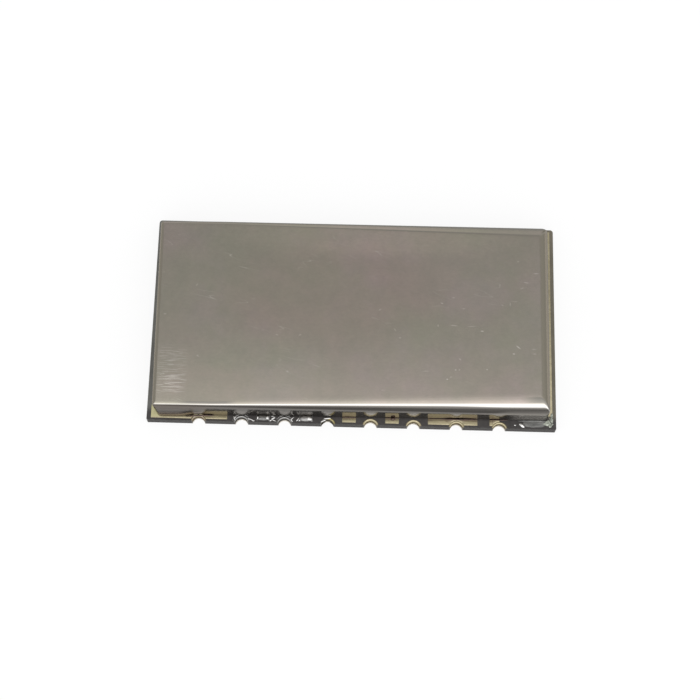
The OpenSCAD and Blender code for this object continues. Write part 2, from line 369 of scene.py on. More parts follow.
# Shift of the can's corners: front left, front right, back left, back right
CORNER_SHIFT = (Vector((0.065, -0.03)) * MM, Vector((0.0, -0.06)) * MM,
                Vector((0.033, 0.03)) * MM, Vector((0.12, 0.11)) * MM)
# The foot turned out at the front left: amount, length, share of the depth, and fading with height
FOOT_FLARE = 0.1 * MM
FLARE_LENGTH = mm(1.2, 3.0)
FLARE_DEPTH = 0.1
FLARE_FADE = 1.4
# The foot of that corner turned in: amount, length and depth, and fading with height
FOOT_TUCK = 0.16 * MM
TUCK_REACH = mm(1.0, 0.9)
TUCK_FADE = 1.2
# Where the front foot stands clear: middle, half length and height
FOOT_LIFTS = ((-9.1, 0.9, 0.16), (-0.15, 0.3, 0.1), (2.2, 0.3, 0.1), (6.3, 0.85, 0.17), (8.6, 0.5, 0.14))


def bend_radius(x, radii):
    """Radius of a long bend, which grows from left to right."""
    share = max(x / CAN_W + 0.5 - BEND_GROWS_FROM, 0) / (1 - BEND_GROWS_FROM)
    return radii[0] + (radii[1] - radii[0]) * share


def foot_lift(x):
    """Height of the front foot above the can's level."""
    lifts = (height * (1 - ((x / MM - centre) / half) ** 2) for centre, half, height in FOOT_LIFTS)
    return max(0, *lifts) * MM


def shape_can(point):
    """Bends the true box into the can as it is, and sets it on the board."""
    u, v = point.x / CAN_W + 0.5, point.y / CAN_D + 0.5
    front = CORNER_SHIFT[0].lerp(CORNER_SHIFT[1], u)
    back = CORNER_SHIFT[2].lerp(CORNER_SHIFT[3], u)
    shift = front.lerp(back, v)
    share = point.z / CAN_H
    crown = (CROWN[0] + (CROWN[1] - CROWN[0]) * u) * max(1 - 2 * v, 0) ** CROWN_POWER
    wobble = WOBBLE * noise.noise(point * WOBBLE_SCALE) if share > WOBBLE_FROM else 0
    z = point.z - (crown + wobble + WOBBLE) * share
    from_left = point.x + CAN_W / 2
    flare = 1 - ease((from_left - FLARE_LENGTH[0]) / (FLARE_LENGTH[1] - FLARE_LENGTH[0]))
    flare *= FOOT_FLARE * max(1 - share * FLARE_FADE, 0) if v < FLARE_DEPTH else 0
    tuck = FOOT_TUCK * max(1 - share * TUCK_FADE, 0) * (1 - ease(from_left / TUCK_REACH[0]))
    tuck *= 1 - ease((point.y + CAN_D / 2) / TUCK_REACH[1])
    return CAN_FRAME @ Vector((point.x + shift.x + tuck, point.y + shift.y - flare, z))


def across(half, low_r, high_r, count):
    """Places from wall to wall, close together on the bend at each end."""
    turns = [1 - cos(QUARTER * k / BEND_STEPS) for k in range(BEND_STEPS + 1)]
    low = [-half + low_r * turn for turn in turns]
    high = [half - high_r * turn for turn in reversed(turns)]
    step = (high[0] - low[-1]) / count
    return low + [low[-1] + step * k for k in range(1, count)] + high


def drop(distance, radius):
    """How far a bend falls below the top at a distance from its wall."""
    gap = max(radius - distance, 0)
    return radius - sqrt(radius * radius - gap * gap)


def round_corner(across_gap, along_gap, radius):
    """Draws a point near two walls into an upright corner of that radius."""
    u, v = max(1 - across_gap / radius, 0), max(1 - along_gap / radius, 0)
    if u == 0 or v == 0:
        return across_gap, along_gap
    return radius * (1 - u * sqrt(1 - v * v / 2)), radius * (1 - v * sqrt(1 - u * u / 2))


def can_point(x, y, half, radii, top):
    """One point of the top or its bends, with the corners rounded."""
    gaps = (y + half[1], half[1] - y, x + half[0], half[0] - x)
    fall = sum(drop(max(gap, 0), r) ** MITRE_POWER for gap, r in zip(gaps, radii)) ** (1 / MITRE_POWER)
    corners = FRONT_CORNERS if y < 0 else BACK_CORNERS
    gap_x, gap_y = round_corner(min(gaps[2:]), min(gaps[:2]), corners[0] if x < 0 else corners[1])
    return (copysign(half[0] - gap_x, x), copysign(half[1] - gap_y, y), top - fall)


def top_columns(thickness):
    """Columns of points over the top and its bends, from left to right."""
    half = (CAN_W / 2 - thickness, CAN_D / 2 - thickness)
    left, right = LEFT_BEND - thickness, RIGHT_BEND - thickness
    columns = []
    for x in across(half[0], left, right, TOP_COLUMNS):
        front, back = (bend_radius(x, ends) - thickness for ends in (FRONT_BEND, BACK_BEND))
        places = across(half[1], front, back, TOP_ROWS)
        radii = (front, back, left, right)
        columns.append([can_point(x, y, half, radii, CAN_H - thickness) for y in places])
    return columns


def wall_rows(columns):
    """Rows of points round the walls, from the foot to the bends."""
    front, back = [column[0] for column in columns], [column[-1] for column in columns]
    rim = front + columns[-1][1:] + back[-2::-1] + columns[0][-2:0:-1]
    feet = [foot_lift(p[0]) if k < len(columns) else 0 for k, p in enumerate(rim)]
    rows = []
    for k in range(WALL_STEPS + 1):
        share = k / WALL_STEPS
        rows.append([(x, y, foot + (z - foot) * share) for (x, y, z), foot in zip(rim, feet)])
    return rows


def can_skin(b, thickness):
    """One face of the sheet. The inside is turned to look inwards. Returns its foot."""
    columns = top_columns(thickness)
    rows = wall_rows(columns)
    first_face = len(b.faces)
    for near, far in zip(columns, columns[1:]):
        b.strip(far, near)
    for low, high in zip(rows, rows[1:]):
        b.strip(low, high, closed=True)
    if thickness:
        b.faces[first_face:] = [face[::-1] for face in b.faces[first_face:]]
    return rows[0]


def build_can(metal):
    b = Builder(shape_can)
    outer = can_skin(b, 0)
    inner = can_skin(b, CAN_T)
    b.strip(inner, outer, closed=True)
    make_piece("drawn_can", b, [metal], ["shield_can"], SHARP_SHEET)


# Solder, tin and residue

DOME_RINGS = 10
DOME_SEGMENTS = 36
RIDGE_STEPS = 8
# How fast the ripples change round a drop, up it and along a ridge
GRAIN_ROUND = 1.3
GRAIN_UP = 1.2
GRAIN_ALONG = 0.45
# Share of a step by which a ridge's pinched ends stay open
PINCH_OPEN = 0.35
# Room between a bead and the can's wall
BEAD_CLEARANCE = 0.05 * MM


def dome_point(half, height, rise, a, power, ripple, seed):
    """A point of a drop from the middle of its foot, at a rise and an angle round it."""
    c, s = cos(a), sin(a)
    grain = noise.noise(Vector((c * GRAIN_ROUND + seed, s * GRAIN_ROUND, rise * GRAIN_UP + seed)))
    swell = 1 + ripple * grain
    reach = (abs(c) ** power + abs(s) ** power) ** (-1 / power) * (cos(rise) * swell)
    return half[0] * reach * c, half[1] * reach * s, height * sin(rise) * swell


def build_dome(b, centre, half, height, base_z, turn=0.0, power=2.0, ripple=0.0, seed=0.0, limit=tuple):
    """A flat-bottomed drop with an oval or nearly square foot, rippled by noise."""
    c, s = cos(turn), sin(turn)
    rows = []
    for k in range(DOME_RINGS):
        row = []
        for m in range(DOME_SEGMENTS):
            a = 4 * QUARTER * m / DOME_SEGMENTS
            x, y, z = dome_point(half, height, QUARTER * k / DOME_RINGS, a, power, ripple, seed)
            row.append(limit((centre[0] + c * x - s * y, centre[1] + s * x + c * y, base_z + z)))
        rows.append(row)
    for low, high in zip(rows, rows[1:]):
        b.strip(low, high, closed=True)
    top = limit((centre[0], centre[1], base_z + height))
    b.strip(rows[-1], [top] * DOME_SEGMENTS, closed=True)
    b.face(rows[0][::-1])


def build_ridge(b, path, width, height, base_z, ripple=0.3, seed=0.0):
    """A rounded bead along a path, pinched at both ends."""
    rows = []
    count = len(path) - 1
    for k, point in enumerate(path):
        along = (Vector(path[min(k + 1, count)]) - Vector(path[max(k - 1, 0)])).normalized()
        side = Vector((along.y, -along.x))
        pinch = max(sin(pi * (k + PINCH_OPEN) / (count + 2 * PINCH_OPEN)), 0) ** 0.5
        swell = pinch * (1 + ripple * noise.noise(Vector((k * GRAIN_ALONG + seed, seed, 0))))
        row = []
        for m in range(RIDGE_STEPS + 1):
            a = 2 * QUARTER * m / RIDGE_STEPS
            off = side * (width / 2 * swell * cos(a))
            row.append((point[0] + off.x, point[1] + off.y, base_z + height * swell * sin(a)))
        rows.append(row)
    for near, far in zip(rows, rows[1:]):
        b.strip(far, near)
        b.face([near[0], near[-1], far[-1], far[0]])
    b.face(rows[0])
    b.face(rows[-1][::-1])


def before_wall(point):
    """Keeps a point outside the front wall of the can."""
    local = CAN_FRAME.inverted() @ Vector(point)
    local.y = min(local.y, -CAN_D / 2 - BEAD_CLEARANCE)
    return tuple(CAN_FRAME @ local)


# Splashes of solder on the front edge: points in the part's millimetres
SPLASHES = (
    ((-6.98, -6.07), (-6.91, -6.2), (-6.86, -6.33)),
    ((-6.82, -6.1), (-6.9, -6.17)),
    ((-6.18, -6.19), (-5.93, -6.25), (-5.78, -6.33), (-5.7, -6.3)),
    ((-4.76, -6.02), (-4.52, -6.1), (-4.7, -6.2), (-4.45, -6.33)),
    ((-4.83, -6.33), (-4.7, -6.24)),
    ((-3.4, -6.05), (-3.5, -6.12), (-3.56, -6.22), (-3.45, -6.33)),
    ((-3.25, -6.29), (-3.08, -6.06)),
    ((-3.11, -6.29), (-2.94, -6.04)),
    ((-1.81, -6.32), (-1.68, -6.23), (-1.51, -6.17)),
    ((-1.64, -6.09), (-1.22, -6.05)),
)
# Arcs of solder round the tinned rings: terminal, radius, first and last angle
ARCS = ((2, 0.54, 165, 30), (3, 0.54, 150, 25))
ARC_W = 0.05 * MM
ARC_STEPS = 24
SPLASH_W = 0.08 * MM
SPLASH_H = 0.045 * MM
# Dull beads on two tabs, and their bright ends of brighter tin, partly a painted highlight: middle, half size
# and height
TAB_BEADS = ((-5.23, -6.14, 0.39, 0.18, 0.14), (-2.67, -6.13, 0.39, 0.18, 0.15))
BRIGHT_ENDS = ((-4.95, -6.15, 0.12, 0.13, 0.16), (-5.53, -6.15, 0.07, 0.12, 0.13),
               (-2.5, -6.15, 0.24, 0.13, 0.17))
# How nearly square a bead's foot is: 2 is an oval
BEAD_POWER = 2.6
# Drops to the right of the last terminal: middle, half size, height and turn
DROPS = ((10.06, -6.2, 0.2, 0.1, 0.1, -0.6), (9.66, -6.19, 0.06, 0.03, 0.02, 0.0))
# Dark brown runs along the front foot: ends of each run and its width
FOOT_SEAMS = ((-9.8, -8.1, 0.09), (-0.55, 0.35, 0.05), (2.0, 2.9, 0.05), (2.36, 2.62, 0.18), (4.6, 7.3, 0.05),
              (5.4, 7.5, 0.09), (8.25, 9.3, 0.06))
# Grey flux that closes the foot beside the last terminal
FLUX_FILL = ((9.9, 11.7, 0.1),)
SEAM_STEP = 0.08 * MM
LEAST_SEAM_STEPS = 4
# Height of a seam as a share of its width
SEAM_RISE = 0.6
# Ripple of each kind of piece, and the step of its seeds
RIPPLE = {"bead": 0.06, "end": 0.12, "drop": 0.2, "seam": 0.12, "film": 0.35, "crust": 0.5}
SEED = {"bead": 3.7, "splash": 1.9, "arc": 1.3, "end": 2.9, "drop": 2.2, "seam": 2.1, "flux": 2.7}


def smooth_path(points, steps=6):
    """A rounded path through given points, in metres."""
    ends = [points[0]] + list(points) + [points[-1]]
    path = []
    for k in range(1, len(ends) - 2):
        p0, p1, p2, p3 = (Vector(p) for p in ends[k - 1:k + 3])
        for m in range(steps):
            t = m / steps
            p = p1 + (p2 - p0) * t / 2 + (2 * p0 - 5 * p1 + 4 * p2 - p3) * t * t / 2
            path.append(p + (3 * p1 - p0 - 3 * p2 + p3) * t ** 3 / 2)
    path.append(Vector(ends[-1]))
    return [(p.x * MM, p.y * MM) for p in path]


def oval_drop(b, row, base_z, **settings):
    """A drop from a table row in millimetres: middle, half size and height."""
    x, y, half_x, half_y, height = mm(*row)
    build_dome(b, (x, y), (half_x, half_y), height, base_z, **settings)


def build_beads(materials):
    for number, (row, material) in enumerate(zip(TAB_BEADS, materials), start=1):
        b = Builder()
        oval_drop(b, row, PAD_TOP, power=BEAD_POWER, ripple=RIPPLE["bead"], seed=number * SEED["bead"],
                  limit=before_wall)
        make_piece(f"solder_bead_{number}", b, [material], replaces=[f"solder_joint_{number}"])


def build_splashes(bright):
    for number, points in enumerate(SPLASHES, start=1):
        b = Builder()
        build_ridge(b, smooth_path(points), SPLASH_W, SPLASH_H, BOARD_TOP, seed=number * SEED["splash"])
        make_piece(f"solder_splash_{number}", b, [bright])


def build_arcs(mid):
    b = Builder()
    for number, radius, *ends in ARCS:
        first, last = (radians(end) for end in ends)
        path = arc(TERMINAL_X[number - 1], HOLE_Y, radius * MM, first, last, ARC_STEPS)
        build_ridge(b, path, ARC_W, ARC_W / 2, BOARD_TOP, seed=number * SEED["arc"])
    make_piece("solder_arcs", b, [mid])


def build_drops(bright):
    b = Builder()
    # Bright ends of the beads, partly a painted highlight
    for number, row in enumerate(BRIGHT_ENDS):
        oval_drop(b, row, PAD_TOP, ripple=RIPPLE["end"], seed=number * SEED["end"])
    for number, (*row, turn) in enumerate(DROPS):
        oval_drop(b, row, BOARD_TOP, turn=turn, ripple=RIPPLE["drop"], seed=SEED["drop"] + number)
    make_piece("solder_drops", b, [bright])


def build_seams(name, rows, base_z, flux):
    """Runs along the foot of the front wall, on the pads and the board."""
    b = Builder()
    for number, row in enumerate(rows):
        start, end, width = mm(*row)
        steps = max(int((end - start) / SEAM_STEP), LEAST_SEAM_STEPS)
        along = [start + (end - start) * k / steps for k in range(steps + 1)]
        foot = [shape_can(Vector((x, -CAN_D / 2, 0))) for x in along]
        path = [(place.x, place.y - width / 2) for place in foot]
        build_ridge(b, path, width, width * SEAM_RISE, base_z, RIPPLE["seam"], number * SEED["seam"])
    make_piece(name, b, [flux])


# Flux left at the front right corner: middle, half size, height and turn of each patch
FLUX_FILM = ((10.9, -6.07, 0.68, 0.23, 0.02, 0.02), (11.2, -6.0, 0.4, 0.16, 0.025, 0.1))
FLUX_CRUST = ((11.64, -6.03, 0.19, 0.15, 0.1, 0.3), (11.82, -5.83, 0.1, 0.17, 0.09, 0.1),
              (11.76, -6.19, 0.1, 0.08, 0.07, 0.5), (11.47, -6.08, 0.12, 0.08, 0.05, -0.2),
              (11.84, -5.55, 0.06, 0.16, 0.06, 0.0), (11.87, -6.08, 0.06, 0.05, 0.05, 0.0))


def build_flux(name, rows, material, ripple):
    b = Builder()
    for number, (*row, turn) in enumerate(rows):
        oval_drop(b, row, BOARD_TOP, turn=turn, ripple=ripple, seed=number * SEED["flux"])
    make_piece(name, b, [material])


# Materials

# Ends of a noise between which a two-tone grain changes
GRAIN_ENDS = (0.3, 0.7)


class Nodes:
    """Short names for the nodes of a material or of the world."""

    def __init__(self, owner):
        owner.use_nodes = True
        self.tree = owner.node_tree
        self.tree.nodes.clear()

    def add(self, kind):
        return self.tree.nodes.new("ShaderNode" + kind)

    def link(self, source, target):
        self.tree.links.new(source, target)

    def feed(self, socket, value):
        """Links an output to a socket, or writes a plain value on it."""
        if isinstance(value, bpy.types.NodeSocket):
            self.link(value, socket)
        elif isinstance(value, tuple) and len(value) == 3 and len(socket.default_value) == 4:
            socket.default_value = (*value, 1)
        else:
            socket.default_value = value

    def node(self, kind, inputs, output, **settings):
        node = self.add(kind)
        for key, value in settings.items():
            setattr(node, key, value)
        for key, value in inputs.items():
            self.feed(node.inputs[key], value)
        return node.outputs[output]

    def axis(self, letter, vector=None):
        return self.node("SeparateXYZ", {"Vector": vector or self.place}, letter)

    def math(self, operation, first, second=0.0):
        return self.node("Math", {0: first, 1: second}, "Value", operation=operation)

    def times(self, first, *others):
        for other in others:
            first = self.math("MULTIPLY", first, other)
        return first

    def tones(self, value, *stops):
        """A colour ramp from pairs of place and colour, or grey level."""
        node = self.add("ValToRGB")
        elements = node.color_ramp.elements
        while len(elements) < len(stops):
            elements.new(0.5)
        for element, (place, colour) in zip(elements, stops):
            element.position = place
            element.color = (*colour, 1) if isinstance(colour, tuple) else (colour, colour, colour, 1)
        self.link(value, node.inputs["Fac"])
        return node.outputs["Color"]


class Shader(Nodes):
    """A material in the making, with noises, masks and mixes."""

    def __init__(self, name, **values):
        self.material = bpy.data.materials.new(name)
        super().__init__(self.material)
        self.main = self.add("BsdfPrincipled")
        self.link(self.main.outputs["BSDF"], self.add("OutputMaterial").inputs["Surface"])
        coords = self.add("TexCoord").outputs
        self.place, self.normal = coords["Object"], coords["Normal"]
        for key, value in values.items():
            self.put(key.replace("_", " ").title(), value)

    def put(self, name, value):
        self.feed(self.main.inputs[name], value)

    def noise(self, scale, detail=3.0, roughness=0.55, vector=None):
        inputs = {"Vector": vector or self.place, "Scale": scale, "Detail": detail, "Roughness": roughness}
        return self.node("TexNoise", inputs, "Fac")

    def stretched(self, scale, turn=0.0):
        """Coordinates turned and stretched, for scratches and fibres."""
        turned = self.node("Mapping", {"Vector": self.place, "Rotation": (0, 0, turn)}, "Vector")
        return self.node("Mapping", {"Vector": turned, "Scale": scale}, "Vector")

    def span(self, value, low, high, to_low=0.0, to_high=1.0):
        """Eases a value from one range to another, and holds it at the ends."""
        inputs = {"Value": value, "From Min": low, "From Max": high, "To Min": to_low, "To Max": to_high}
        return self.node("MapRange", inputs, "Result", interpolation_type="SMOOTHSTEP")

    def inside(self, value, limits, soft):
        """A mask that is 1 between two limits, with soft ends."""
        low, high = limits
        rise = self.span(value, low - soft, low + soft)
        return self.times(rise, self.span(value, high - soft, high + soft, 1.0, 0.0))

    def mix(self, factor, first, second, blend="MIX"):
        node = self.add("Mix")
        node.data_type = "RGBA"
        node.blend_type = blend
        for socket, value in zip([s for s in node.inputs if s.enabled], (factor, first, second)):
            self.feed(socket, value)
        return next(s for s in node.outputs if s.enabled)

    def tinted(self, tone, tint):
        return self.mix(1.0, tone, tint, "MULTIPLY")

    def grainy(self, grain, dark, light):
        """Two tones that change with a noise."""
        return self.tones(grain, *zip(GRAIN_ENDS, (dark, light)))

    def rough(self, grain, low, high):
        self.put("Roughness", self.span(grain, *GRAIN_ENDS, low, high))

    def away(self, value, middle):
        """Distance of a value from a middle one."""
        return self.math("ABSOLUTE", self.math("SUBTRACT", value, middle))


# The top's clouds: scale, detail and roughness, as for every noise, and tones
CLOUDS = (300, 4.0, 0.6)
CLOUD_TONES = ((0.34, (0.335, 0.312, 0.26)), (0.5, (0.345, 0.317, 0.267)), (0.66, (0.358, 0.32, 0.283)))
# Layers of tarnish: noise, stretch, turn and tints
TARNISH = (
    ((170, 3.0, 0.5), (1, 1.3, 1), 0.6, ((0.36, (0.95, 0.99, 0.96)), (0.64, (1.0, 0.97, 1.0)))),
    ((1000, 3.0, 0.6), (1, 1, 1), 0.0, ((0.3, (0.955, 0.965, 0.96)), (0.7, (1.035, 1.02, 1.02)))),
    ((9000, 2.0, 0.6), (0.5, 1, 1), 0.0, ((0.25, 0.97), (0.75, 1.03))),
)
# Tinted areas of the top: middle, half size and tint, and their even core. The last, a lighter lane near the
# back, is a painted sheen
TINTS = ((-1.5, 1.2, 9.0, 4.6, (1.02, 0.965, 0.985)), (-8.6, -4.9, 4.5, 1.8, (1.04, 0.985, 1.02)),
         (1.0, 4.8, 10.5, 1.6, (1.13, 1.12, 1.1)))
TINT_CORE = 0.4
# Nicks in the top in millimetres: place, half length, turn in degrees and strength
NICKS = ((9.75, 3.5, 0.06, 0, 0.35), (10.83, 2.75, 0.2, 0, 0.32), (10.22, 2.15, 0.2, -8, 0.3),
         (9.97, 1.78, 0.16, 25, 0.22), (9.25, 0.74, 0.17, 90, 0.2), (8.79, 0.68, 0.12, -35, 0.2),
         (5.89, 1.07, 0.12, 0, 0.25), (5.2, 0.7, 0.12, -20, 0.35), (6.5, 0.39, 0.16, 0, 0.2),
         (5.92, -0.69, 0.3, -6, 0.28), (6.99, -0.71, 0.34, 4, 0.18), (7.59, -1.0, 0.13, 0, 0.55),
         (4.98, -0.72, 0.11, 90, 0.3), (9.72, -1.95, 0.22, -38, 0.5), (9.45, -2.37, 0.1, 0, 0.55),
         (10.63, -2.06, 0.18, 0, 0.2), (10.67, -2.34, 0.15, 0, 0.25), (6.29, -2.79, 0.12, -40, 0.3),
         (6.03, -3.45, 0.07, 0, 0.5), (6.25, -3.44, 0.06, 0, 0.35), (7.87, -3.38, 0.08, 0, 0.35),
         (5.54, -4.03, 0.07, 0, 0.5), (5.76, -3.89, 0.11, 10, 0.22), (1.53, 0.19, 0.12, 20, 0.25),
         (2.74, -1.55, 0.1, 0, 0.3), (2.44, -1.05, 0.13, -50, 0.22), (-9.4, 1.48, 0.12, 60, 0.25),
         (-11.19, -0.41, 0.12, 0, 0.3), (-3.16, -1.52, 0.13, 30, 0.22), (-4.52, -1.55, 0.12, -15, 0.22))
NICK_HALF_W = 0.045
NICK_CORE = 0.3
NICK_TONE = (0.75, 0.71, 0.65)
# Hairlines: noise, stretch and turn, edge on the noise, and where they show
HAIRS = (150, 2.0, 0.5)
HAIR_STRETCH = ((1, 9, 1), 0.25)
HAIR_EDGE = (0.001, 0.004)
HAIR_PLACES = 420
HAIR_LEVELS = (0.54, 0.62, 0.0, 0.4)
HAIR_TONE = (0.55, 0.52, 0.47)
# Fine scratches near the front left corner: noise, limits with softness, and levels
SCRATCHES = (1, 2.0, 0.6)
SCRATCH_STRETCH = (1000, 15000, 1)
SCRATCH_EDGE = (0.5, 0.62)
SCRATCHED_X = (mm(-11.4, -9.85), 0.3 * MM)
SCRATCHED_Y = ((mm(-5.2, -4.1), 0.25 * MM, 0.6), (mm(-4.1, -2.5), 0.4 * MM, 0.32))
SCRATCH_TONE = (0.62, 0.59, 0.54)


def oval(s, row, turn, level, core):
    """A mask of an upright oval, given in millimetres, that fades from its core to its edge."""
    x, y, half_x, half_y = mm(*row)
    place = {"Vector": s.place, "Location": (x, y, 0), "Rotation": (0, 0, turn), "Scale": (half_x, half_y, 1)}
    local = s.node("Mapping", place, "Vector", vector_type="TEXTURE")
    flat = s.node("VectorMath", {0: local, 1: (1, 1, 0)}, "Vector", operation="MULTIPLY")
    return s.span(s.node("VectorMath", {0: flat}, "Value", operation="LENGTH"), core, 1.0, level, 0.0)


def nicks(s):
    """A mask of the nicks in the top."""
    mask = 0.0
    for x, y, half, turn, level in NICKS:
        nick = oval(s, (x, y, half, NICK_HALF_W), radians(turn), level, NICK_CORE)
        mask = s.math("MAXIMUM", nick, mask)
    return mask


def hairlines(s):
    """A mask of long faint lines, where the noise crosses its middle."""
    hair = s.noise(*HAIRS, s.stretched(*HAIR_STRETCH))
    line = s.span(s.away(hair, 0.5), *HAIR_EDGE, 1.0, 0.0)
    return s.times(line, s.span(s.noise(HAIR_PLACES), *HAIR_LEVELS))


def scratches(s):
    """A mask of the fine scratches, stronger towards the front."""
    worn = s.span(s.noise(*SCRATCHES, s.stretched(SCRATCH_STRETCH)), *SCRATCH_EDGE)
    level = 0.0
    for limits, soft, share in SCRATCHED_Y:
        level = s.math("ADD", s.times(s.inside(s.axis("Y"), limits, soft), share), level)
    return s.times(worn, level, s.inside(s.axis("X"), *SCRATCHED_X))


def can_top_tone(s):
    """Tarnish, stains, a painted sheen near the back, nicks and scratches of the can's top."""
    tone = s.tones(s.noise(*CLOUDS), *CLOUD_TONES)
    for grain, stretch, turn, tints in TARNISH:
        tone = s.tinted(tone, s.tones(s.noise(*grain, s.stretched(stretch, turn)), *tints))
    # The last tint is a painted sheen near the back
    for *row, tint in TINTS:
        tone = s.mix(oval(s, row, 0.0, 1.0, TINT_CORE), tone, s.tinted(tone, tint))
    for mask, worn_tone in ((nicks, NICK_TONE), (hairlines, HAIR_TONE), (scratches, SCRATCH_TONE)):
        tone = s.mix(mask(s), tone, worn_tone)
    return tone


# Painted reflection on the front wall, by share of its height: dark and light lines that lean from left to
# right
WALL_REFLECTION_LINES = ((0.6, (0.2, 0.188, 0.175)), (0.68, (0.2, 0.188, 0.175)), (0.73, (0.07, 0.065, 0.06)),
              (0.79, (0.07, 0.065, 0.06)), (0.86, (0.102, 0.095, 0.087)))
WALL_LEAN = 11.8
# The brighter foot, painted so the mirrored pads show, where it ends, and its darker painted reflection
# behind tinned terminals
FOOT_TONE = (0.44, 0.412, 0.368)
FOOT_TOP = (0.36, 0.6)
FOOT_TINNED = (0.28, 0.263, 0.245)
TINNED_X = (mm(-7.2, -1.0), 1.3 * MM)
# The left end: a brown painted reflection at its foot, with a dark line in it, and painted shade under the
# bend
FOOT_BROWN = ((0.1, (0.18, 0.146, 0.117)), (0.22, (0.22, 0.178, 0.143)), (0.32, (0.076, 0.065, 0.057)),
              (0.42, (0.07, 0.061, 0.054)), (0.54, (0.14, 0.132, 0.122)))
BROWN_ENDS = mm(-9.8, -7.2)
BROWN_LEVEL = 0.95
BROWN_TINT = (0.97, 0.9, 0.85)
DARK_END = (0.045, 0.04, 0.036)
DARK_TO = mm(-10.4, -8.0)
UNDER_BEND = (0.74, 0.92)
# The right end, with a darker painted reflection at its foot, and how much higher the foot reaches there
FOOT_RIGHT_DIM = (0.25, 0.234, 0.213)
RIGHT_DIM_FROM = mm(7.4, 9.6)
RIGHT_DIM_RISE = 0.16
# Matt film of flux on the foot: right end, left end with its level, height and depth
FILMED_FROM = mm(9.0, 9.9)
FILMED_TO = mm(-10.2, -9.0)
FILM_AT_LEFT = 0.85
FILM_Z = (CAN_LOW.z + 0.4 * CAN_H, CAN_LOW.z + 0.6 * CAN_H)
FILM_DEPTH = 0.32
FILMED_SLOPE = (-0.9, -0.7)


def can_wall_tone(s):
    """The front wall's painted reflection: bright foot, dark lines above, brown at the left end and darker at
    the right.
    """
    x = s.axis("X")
    share = s.math("DIVIDE", s.math("SUBTRACT", s.axis("Z"), CAN_LOW.z), CAN_H)
    # Painted reflection lines, tinted brown at the left end
    lines = s.tones(s.math("ADD", share, s.times(x, WALL_LEAN)), *WALL_REFLECTION_LINES)
    lines = s.mix(s.span(x, *BROWN_ENDS, 1.0, 0.0), lines, s.tinted(lines, BROWN_TINT))
    # Painted shade under the bend at the left end
    under_bend = s.times(s.span(share, *UNDER_BEND), s.span(x, *DARK_TO, 1.0, 0.0))
    lines = s.mix(under_bend, lines, DARK_END)
    # The bright foot, a painted reflection of the pads: darker behind the tinned terminals, brown at the left
    # end and darker at the right
    foot = s.mix(s.inside(x, *TINNED_X), FOOT_TONE, FOOT_TINNED)
    foot = s.mix(s.span(x, *BROWN_ENDS, BROWN_LEVEL, 0.0), foot, s.tones(share, *FOOT_BROWN))
    foot = s.mix(s.span(x, *RIGHT_DIM_FROM), foot, FOOT_RIGHT_DIM)
    lowered = s.math("ADD", share, s.span(x, *RIGHT_DIM_FROM, 0.0, -RIGHT_DIM_RISE))
    return s.mix(s.span(lowered, *FOOT_TOP, 1.0, 0.0), lines, foot)


def can_wall_film(s):
    """A mask of the matt flux at both ends of the front wall's foot."""
    x = s.axis("X")
    ends = s.math("MAXIMUM", s.span(x, *FILMED_FROM), s.span(x, *FILMED_TO, FILM_AT_LEFT, 0.0))
    low = s.span(s.axis("Z"), *FILM_Z, FILM_DEPTH, 0.0)
    return s.times(low, s.span(s.axis("Y", s.normal), *FILMED_SLOPE, 1.0, 0.0), ends)


# Painted shade by slope on the side and back bends and walls: tones, with the slopes between which each
# starts
SIDE_TONES = (((0.02, 0.3), (0.232, 0.213, 0.172)), ((0.58, 0.72), (0.27, 0.24, 0.194)))
BACK_TONES = (((0.5, 0.6), (0.2, 0.189, 0.166)), ((0.8, 0.93), (0.25, 0.236, 0.208)))
# Bands of slope with softness: a painted shade line at the back, and painted shades on both long bends
BACK_SHADE_LINE = ((0.04, 0.17), 0.03)
BACK_SHADE_LINE_TONE = (0.29, 0.268, 0.228)
SHADED_BANDS = (((0.17, 0.55), 0.04), ((-0.42, -0.14), 0.05))
BEND_SHADE = (0.9, 0.9, 0.9)
# The front bend: a painted highlight, weaker at its left end, and painted shade that dims it in two places
HIGHLIGHT_TONE = (0.52, 0.505, 0.485)
HIGHLIGHT_SLOPE = (-0.55, -0.4)
HIGHLIGHT_FROM = (-10.5 * MM, -7.0 * MM, 0.55, 1.0)
HIGHLIGHT_SHADE = (0.2, 0.188, 0.168)
HIGHLIGHT_SHADE_BAND = ((-0.42, -0.1), 0.05)
HIGHLIGHT_SHADE_LEFT = (mm(-9.9, -7.0), 0.5 * MM)
HIGHLIGHT_SHADE_RIGHT = mm(9.6, 11.0)
# Slope where the front wall's painted reflection starts and ends the painted highlight, and where and how far
# that edge sinks
FRONT_WALL_SLOPE = (-0.65, -0.54)
LINE_SINKS = (5.0 * MM, 9.4 * MM, 0.0, 0.055)
CAN_SPECULAR = (0.6, 0.6, 0.6, 1)
CAN_GRAIN = (5200, 4.0, 0.6)
CAN_ROUGHNESS = (0.12, 0.2)


def can_bend_tone(s, along):
    """The top, with painted shade on its bends and on the side and back walls, by slope."""
    tone = can_top_tone(s)
    steep = s.math("ABSOLUTE", s.axis("X", s.normal))
    for slopes, next_tone in SIDE_TONES:
        tone = s.mix(s.span(steep, *slopes), tone, next_tone)
    tone = s.mix(s.inside(along, *BACK_SHADE_LINE), tone, BACK_SHADE_LINE_TONE)
    for band in SHADED_BANDS:
        tone = s.mix(s.inside(along, *band), tone, s.tinted(tone, BEND_SHADE))
    for slopes, next_tone in BACK_TONES:
        tone = s.mix(s.span(along, *slopes), tone, next_tone)
    return tone


